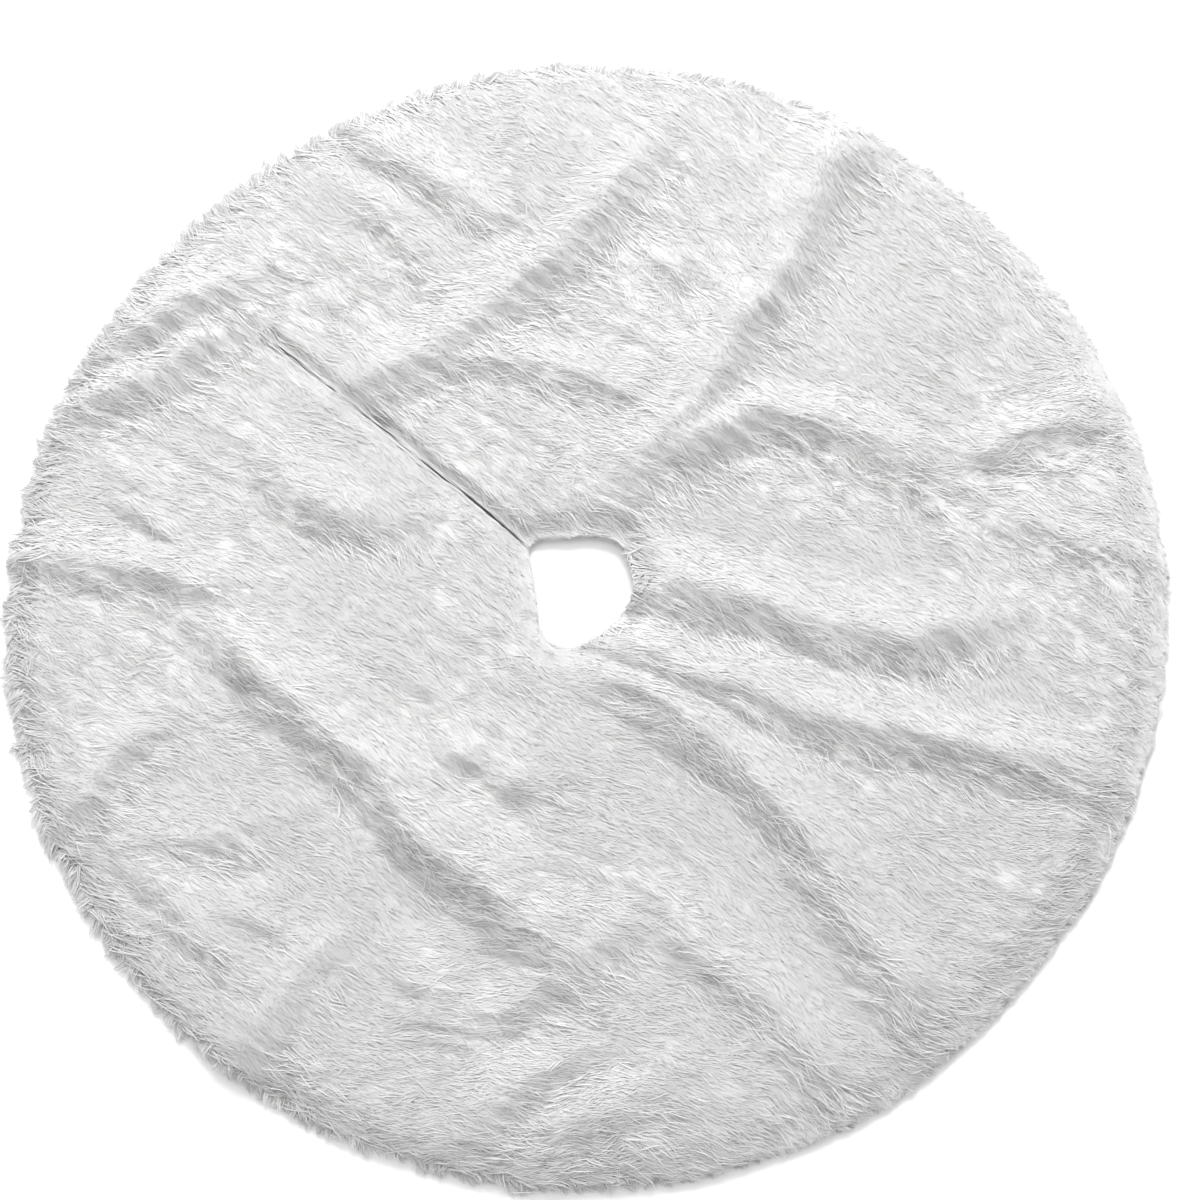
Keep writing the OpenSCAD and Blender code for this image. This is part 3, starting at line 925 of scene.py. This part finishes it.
def share_left(x, y, length, reach):
    """Share of each fibre's length that is left when it ends a little past the rim or the hole's edge."""
    r, a = np.hypot(x, y), np.arctan2(y, x)
    past = np.maximum(r - rim_edge(a), hole_edge(a) - r)
    crossed = past > 0
    k = np.maximum(crossed.argmax(1), 1)
    rows = np.arange(len(k))
    before, after = past[rows, k - 1], past[rows, k]
    part_way = np.clip(-before / (after - before + 1e-9), 0, 1)
    over_x, over_y = (v[rows, k - 1] * (1 - part_way) + v[rows, k] * part_way for v in (x, y))
    tooth = noise(np.arctan2(over_y, over_x) * CLOTH_R, 0 * over_x, 0.004, 61)
    extra = np.where(np.hypot(over_x, over_y) > CLOTH_R / 2, reach * (1 + 0.4 * tooth), 0.004)
    return np.where(crossed.any(1), np.minimum((k - 1 + part_way) / SEGMENTS + extra / length, 1), 1)


LOWEST = 0.0015  # fibres' middle lines stay this far over the floor
EDGE_LOWEST = 0.0008  # and their edges this far
BY_SLIT = (-0.02, 0.07)  # roots this far from the slit's line, on their own side of it, may reach it


def strands(root_x, root_y, angle, length, lift, side, clump, pull, swing, heights, curl=0.0):
    """
    Paths of lying fibres: arrays of (strand, point) for x, y and z. Clump is each one's leader, and
    pull says how far its tip is drawn to the leader's. Curl is its turn in radians.
    """
    n = len(root_x)
    t = np.linspace(0, 1, SEGMENTS + 1)
    turn = angle - NAP_ANGLE(root_x, root_y)
    x, y = path(root_x, root_y, turn, length, curl)
    left = share_left(x, y, length, 0.014 + 0.010 * rng.random(n)[clump] ** 2)
    x, y = path(root_x, root_y, turn, length * left, curl)
    phase = rng.uniform(0, 2 * math.pi, n)[:, None]
    wave = swing * np.sin(phase + t[None] * rng.uniform(3, 7, n)[:, None]) * t[None]
    x = x - np.sin(angle)[:, None] * wave
    y = y + np.cos(angle)[:, None] * wave
    share = np.where(left < 1, 0.85, pull)[:, None] * t[None] ** 1.2
    x, y = (v * (1 - share) + v[clump] * share for v in (x, y))
    along, across = slit_frame(root_x, root_y)
    near = (side * across > BY_SLIT[0]) & (side * across < BY_SLIT[1]) & (along > 0)
    room = (0.0004 + rng.exponential(0.0009, n))[:, None]
    x, y, past_rim, in_hole = held_in(x, y, near[:, None].astype(float), room, side)
    rise = np.interp(t, [0, 0.25, 0.6, 0.85, 1], heights)[None]
    cloth = (PILE_Z + RISE(x, y)) * (1 - 0.85 * smooth((past_rim + 0.004) / 0.026)) * (1 - 0.3 * in_hole)
    pile = pile_depth(x, y) * rise * lift[:, None] * (1 - 0.80 * smooth((past_rim + 0.030) / 0.055))
    z = np.maximum(cloth + pile * (1 - 0.4 * in_hole), LOWEST)
    return x, y, z


OWN_SHARE = 0.05  # how much of a fibre's own tilt shows against the tilt of the pile it lies in


def shade_with_pile(ob):
    """Turns the shading normals towards the pile's surface, because light passes from fibre to fibre."""
    me = ob.data
    n = len(me.vertices)
    own, co = np.empty((2, n * 3), dtype=np.float32)
    me.vertices.foreach_get("normal", own)
    me.vertices.foreach_get("co", co)
    own = own.reshape(-1, 3)
    own[own[:, 2] < 0] *= -1
    x, y = co[0::3], co[1::3]
    sx, sy = slopes(TOP, x, y, 0.004)
    pile = np.stack([-sx, -sy, np.ones(n)], 1)
    pile /= np.linalg.norm(pile, axis=1)[:, None]
    share = OWN_SHARE + 0.45 * shaded(x, y)[:, None]
    mixed = share * own + (1 - share) * pile
    mixed /= np.linalg.norm(mixed, axis=1)[:, None]
    me.normals_split_custom_set_from_vertices(mixed.astype(np.float32))


def ribbons(name, x, y, z, width, roll, shade):
    """One mesh of tapering ribbons, one for each strand."""
    n, m = x.shape
    dx, dy = np.gradient(x, axis=1), np.gradient(y, axis=1)
    d = np.hypot(dx, dy) + 1e-9
    nx, ny = -dy / d, dx / d
    shape = np.interp(np.linspace(0, 1, m), [0, 0.3, 0.75, 1], [0.8, 1.0, 0.65, 0.0])
    half = width[:, None] * shape[None] / 2
    c, s = np.cos(roll)[:, None] * half, np.sin(roll)[:, None] * half
    reach = 0.004
    slope = (TOP(x + nx * reach, y + ny * reach) - TOP(x - nx * reach, y - ny * reach)) / (2 * reach)
    s = s + slope * c
    left = np.stack([x + nx * c, y + ny * c, np.maximum(z + s, EDGE_LOWEST)], -1)
    right = np.stack([x - nx * c, y - ny * c, np.maximum(z - s, EDGE_LOWEST)], -1)
    body = np.stack([left[:, :-1], right[:, :-1]], 2).reshape(n, (m - 1) * 2, 3)
    tip = np.stack([x[:, -1], y[:, -1], z[:, -1]], -1)[:, None]
    co = np.concatenate([body, tip], 1)
    per = co.shape[1]
    base = np.arange(n)[:, None, None] * per
    quad = np.array([[2 * k, 2 * k + 1, 2 * k + 3, 2 * k + 2] for k in range(m - 2)])
    quads = (base + quad[None]).reshape(-1, 4)
    tri = np.arange(n)[:, None] * per + np.array([[per - 3, per - 2, per - 1]])
    ob = new_object(name, co.reshape(-1, 3), quads, tri)
    for material in FIBRES:
        ob.data.materials.append(material)
    ob.data.polygons.foreach_set("material_index", np.concatenate([np.repeat(shade, m - 2), shade]))
    shade_with_pile(ob)
    return ob


ROW_STEP = 0.866  # rows of a triangular grid, as a share of the distance along them


def clump_roots(part):
    """Roots of the clumps of one part, on a shaken triangular grid."""
    half = int(0.65 / (ROW_STEP * CLUMP_STEP))
    i, j = np.meshgrid(np.arange(-half, half), np.arange(-half, half), indexing="ij")
    x = (i + 0.5 * (j % 2)).ravel() * CLUMP_STEP
    y = (j * ROW_STEP).ravel() * CLUMP_STEP
    x, y = (v + rng.uniform(-0.4, 0.4, len(v)) * CLUMP_STEP for v in (x, y))
    r, a = np.hypot(x, y), np.arctan2(y, x)
    on = (r > hole_edge(a)) & (r < rim_edge(a))
    flap = (a > SLIT) & (a <= math.pi)
    keep = on & (flap if part == "flap" else ~flap)
    return x[keep], y[keep]


def grow(part, cx, cy):
    """The long pile: fibres in clumps whose tips gather. On slopes facing away from the key light the fibres
    take darker shades, as painted shade, and a few stray ones take the lightest shade, as a painted
    highlight.
    """
    side = SIDES[part]
    n = len(cx)
    clump_turn = rng.normal(0, math.radians(10), n)
    clump_len = FIBRE_LEN * rng.uniform(0.78, 1.22, n)
    clump_lift = rng.uniform(0.95, 1.03, n)
    streak, dark = streaked(cx, cy), shaded(cx, cy)
    # Painted shade: fibres on slopes facing away from the key light take darker shades. Their shades scatter
    # more there and less on lit crests.
    uneven = 0.22 + 0.36 * streak + 0.8 * dark
    tone = 2.15 - 1.3 * dark + uneven * (1.1 * LOCK(cx, cy) + rng.normal(0, 0.6, n))
    k = PER_CLUMP
    spread = CLUMP_STEP * 0.62
    rx = np.repeat(cx, k) + rng.normal(0, spread, n * k)
    ry = np.repeat(cy, k) + rng.normal(0, spread, n * k)
    rx[::k], ry[::k] = cx, cy
    nap = NAP_ANGLE(rx, ry) + np.repeat(clump_turn, k) + rng.normal(0, math.radians(8), n * k)
    length = np.repeat(clump_len, k) * rng.uniform(0.80, 1.12, n * k)
    width = rng.uniform(0.0007, 0.0013, n * k)
    sunk = 0.05 + 0.15 * streak + 0.08 * dark
    lift = np.repeat(clump_lift, k) * (1.02 - np.repeat(sunk, k) * rng.random(n * k))
    leader = np.repeat(np.arange(n) * k, k)
    curl = np.repeat(rng.normal(0, 0.4, n) * (0.5 + streak), k)
    tone = np.repeat(tone, k) + rng.normal(0, 0.75, n * k) * np.repeat(uneven, k)
    # Painted highlight: stray fibres on shaded slopes take the lightest shade, like fibres catching the
    # light.
    highlight_strays = rng.random(n * k) < 0.15 * shaded(rx, ry)
    tone[highlight_strays] = LIGHTEST
    lift[highlight_strays] += 0.10
    x, y, z = strands(rx, ry, nap, length, lift, side, leader, 0.45, 0.0028, RISING, curl)
    roll = rng.uniform(-0.16, 0.16, n * k)
    shade = np.clip(np.round(tone), 0, LIGHTEST).astype(np.int32)
    return x, y, z, width, roll, shade


def fringe(part, edge, inward, tufts, k, reach, deep, combed_share, pull, heights):
    """Tufts along an edge: a share of them lies along the nap, and the others point out over the edge."""
    side = SIDES[part]
    start, stop = sector_span(side)
    n = int(tufts * (stop - start) / (2 * math.pi))
    a = np.repeat(rng.uniform(start, stop, n), k)
    across = rng.normal(0, 0.0035, n * k)
    across[::k] = 0
    a = np.clip(a + across / CLOTH_R, start, stop)
    r = edge(a) + inward * (rng.uniform(*deep, n).repeat(k) + rng.uniform(0, 0.005, n * k))
    rx, ry = r * np.cos(a), r * np.sin(a)
    out = a if inward < 0 else a + math.pi
    nap = NAP_ANGLE(rx, ry)
    lean = np.repeat(rng.uniform(0.1, 0.8, n), k)
    outward = np.arctan2(np.sin(out) + lean * np.sin(nap), np.cos(out) + lean * np.cos(nap))
    angle = np.where(np.repeat(rng.random(n) < combed_share, k), nap, outward)
    angle = angle + np.repeat(rng.normal(0, 0.28, n), k) + rng.normal(0, 0.12, n * k)
    length = np.repeat(reach * np.exp(rng.normal(0, 0.4, n)), k) * rng.uniform(0.7, 1.1, n * k)
    lift = np.repeat(rng.uniform(0.6, 1.05, n), k) * rng.uniform(0.85, 1.05, n * k)
    leader = np.repeat(np.arange(n) * k, k)
    width = rng.uniform(0.0006, 0.0011, n * k)
    x, y, z = strands(rx, ry, angle, length, lift, side, leader, pull, 0.002, heights)
    roll = rng.uniform(-0.3, 0.3, n * k)
    # The tufts take only the darker shades: painted shade along the skirt's edges.
    return x, y, z, width, roll, rng.integers(0, LIGHTEST, n * k).astype(np.int32)


# Edge, way into the cloth, tufts round it, fibres in a tuft, their length, depth of the roots inside
# the edge, share of tufts that lie along the nap, pull to the leader, heights
FRINGES = [
    (rim_edge, -1, 1300, 16, 0.025, (0.001, 0.012), 0.0, 0.85, FALLING),
    (rim_edge, -1, 5000, 9, 0.026, (0.002, 0.040), 0.8, 0.5, LYING),
    (hole_edge, 1, 110, 12, 0.012, (0.001, 0.006), 0.0, 0.8, FALLING),
    (hole_edge, 1, 560, 9, 0.022, (0.002, 0.026), 0.8, 0.5, LYING),
]
MOST = 28000  # strands in one piece

for part in SIDES:
    cx, cy = clump_roots(part)
    order = np.argsort(np.arctan2(cy, cx), kind="stable")
    cx, cy = cx[order], cy[order]
    groups = [grow(part, cx, cy)] + [fringe(part, *row) for row in FRINGES]
    all_of = [np.concatenate(values) for values in zip(*groups)]
    order = np.argsort(np.arctan2(all_of[1][:, 0], all_of[0][:, 0]), kind="stable")
    pieces = -(-len(order) // MOST)
    for i, rows in enumerate(np.array_split(order, pieces)):
        fur = ribbons("fur_%s_%02d" % (part, i + 1), *[v[rows] for v in all_of])
        settle(fur, part, "fur_pile")
        FUR[part].append(fur)

# ---- floor, light and camera
def floor_piece():
    m = Nodes("floor_pale", 0.9, 0, 0.1)
    m.colour(m.noise(m.mapped(), 2.0), grey(0.95, 0), grey(0.96, 0))
    s = 6  # half of the floor's length
    me = bpy.data.meshes.new("floor")
    me.from_pydata([(-s, -s, 0), (s, -s, 0), (s, s, 0), (-s, s, 0)], [], [(0, 1, 2, 3)])
    me.materials.append(m.mat)
    placed("floor", me)


def area_light(name, place, target, size, power):
    light = bpy.data.lights.new(name, "AREA")
    light.shape = "DISK"
    light.size = size
    light.energy = power
    ob = placed(name, light)
    ob.location = place
    ob.rotation_euler = (Vector(target) - Vector(place)).to_track_quat("-Z", "Y").to_euler()


floor_piece()
area_light("key", (0.1, 4.1, 3.0), (0, 0, 0), 2.8, 300)
area_light("fill", (-1.2, 0.6, 2.8), (0, 0, 0), 2.4, 14)

scene = bpy.context.scene
world = bpy.data.worlds.new("studio")
world.use_nodes = True
sky = world.node_tree.nodes["Background"].inputs
sky["Color"].default_value = (1, 1, 1, 1)
sky["Strength"].default_value = 0.80
scene.world = world
scene.view_settings.view_transform = "Standard"

camera = bpy.data.cameras.new("camera")
camera.lens = 70.1
camera.sensor_width = 36
view = placed("camera", camera)
TILT, DISTANCE = math.radians(15.3), 2.452
view.location = (0, -DISTANCE * math.sin(TILT), DISTANCE * math.cos(TILT))
LOOK = Vector((0.0068, -0.0078, 0))
view.rotation_euler = (LOOK - view.location).to_track_quat("-Z", "Y").to_euler()
scene.camera = view
